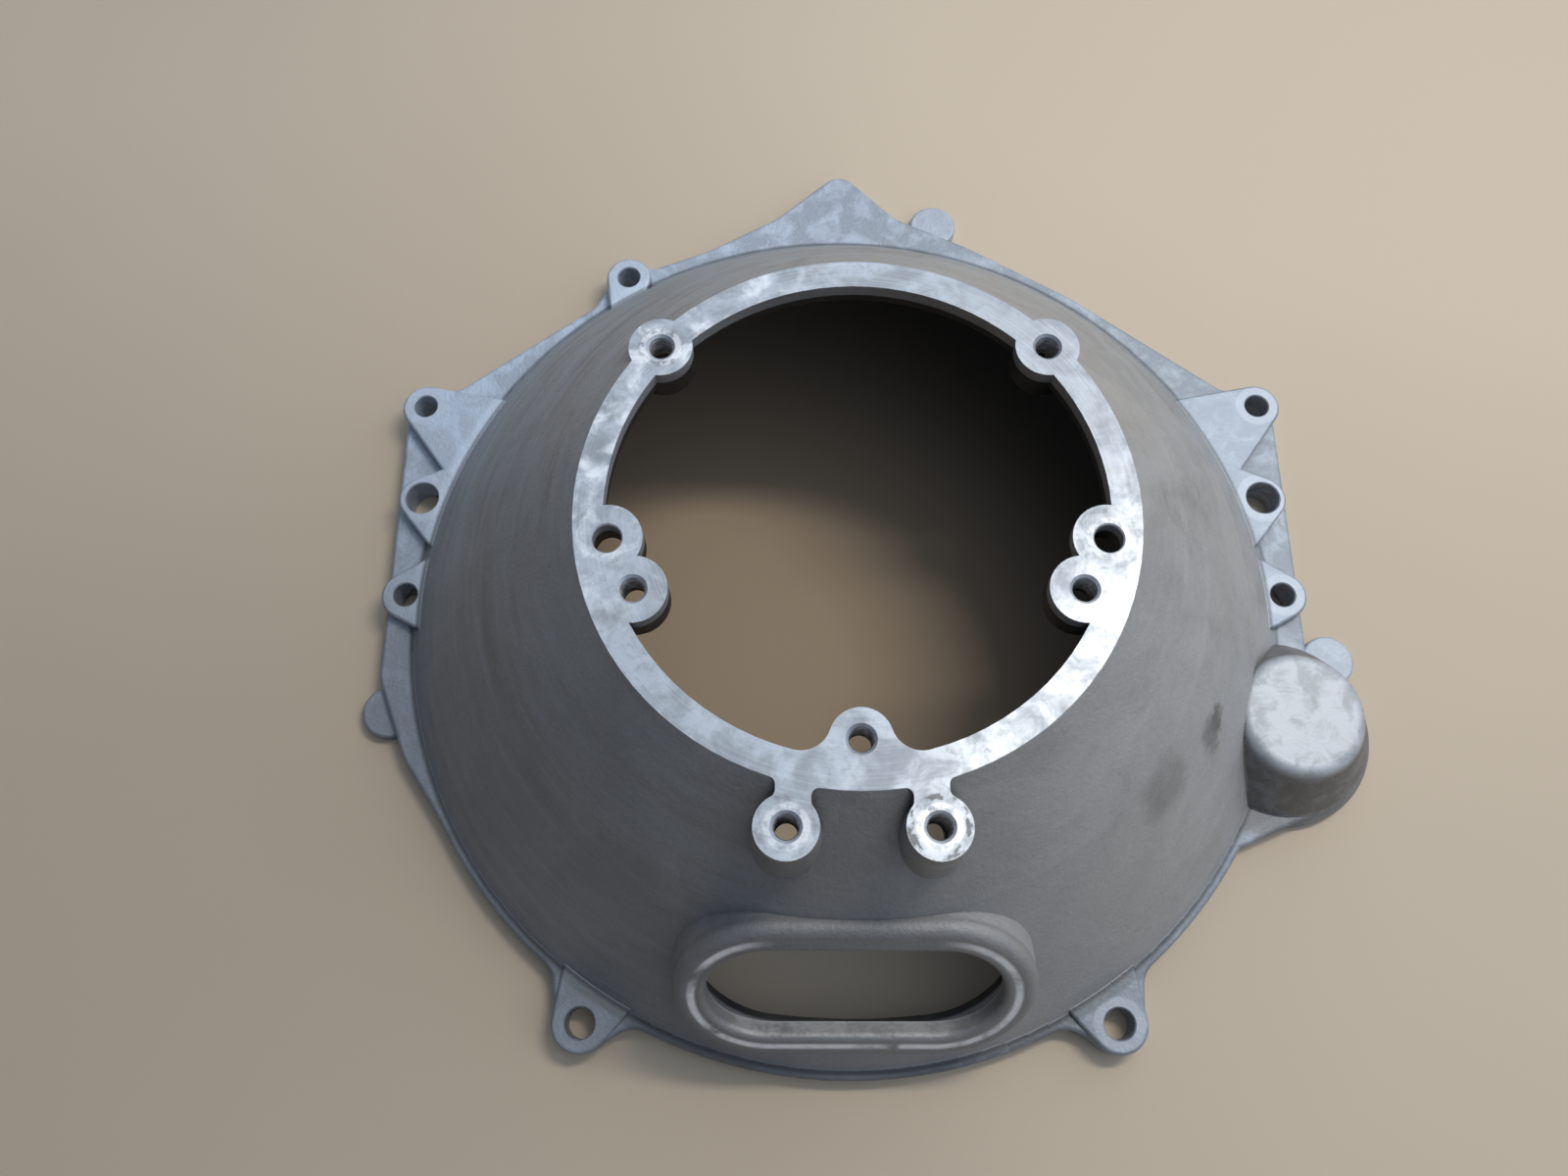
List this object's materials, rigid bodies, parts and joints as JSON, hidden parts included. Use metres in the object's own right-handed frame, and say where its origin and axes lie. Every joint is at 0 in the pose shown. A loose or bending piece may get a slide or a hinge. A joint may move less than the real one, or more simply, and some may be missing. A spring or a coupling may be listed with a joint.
{
  "type": "transmission bell housing",
  "caption": "Cast aluminium bell housing: a cone-shaped shell with a wide engine flange, a machined transmission ring, a fork window and a starter pocket.",
  "frame": {"origin": "on the crankshaft axis, in the face that meets the engine", "axes": "+Z along the crankshaft axis towards the transmission, +Y towards the pointed top of the flange, +X towards the side with the starter pocket"},
  "size_m": [0.4226, 0.4102, 0.125],
  "materials": {
    "cast_aluminium": "as cast, with machined faces"
  },
  "bodies": {
    "root": {"bell_housing": "cast_aluminium"}
  },
  "joints": []
}
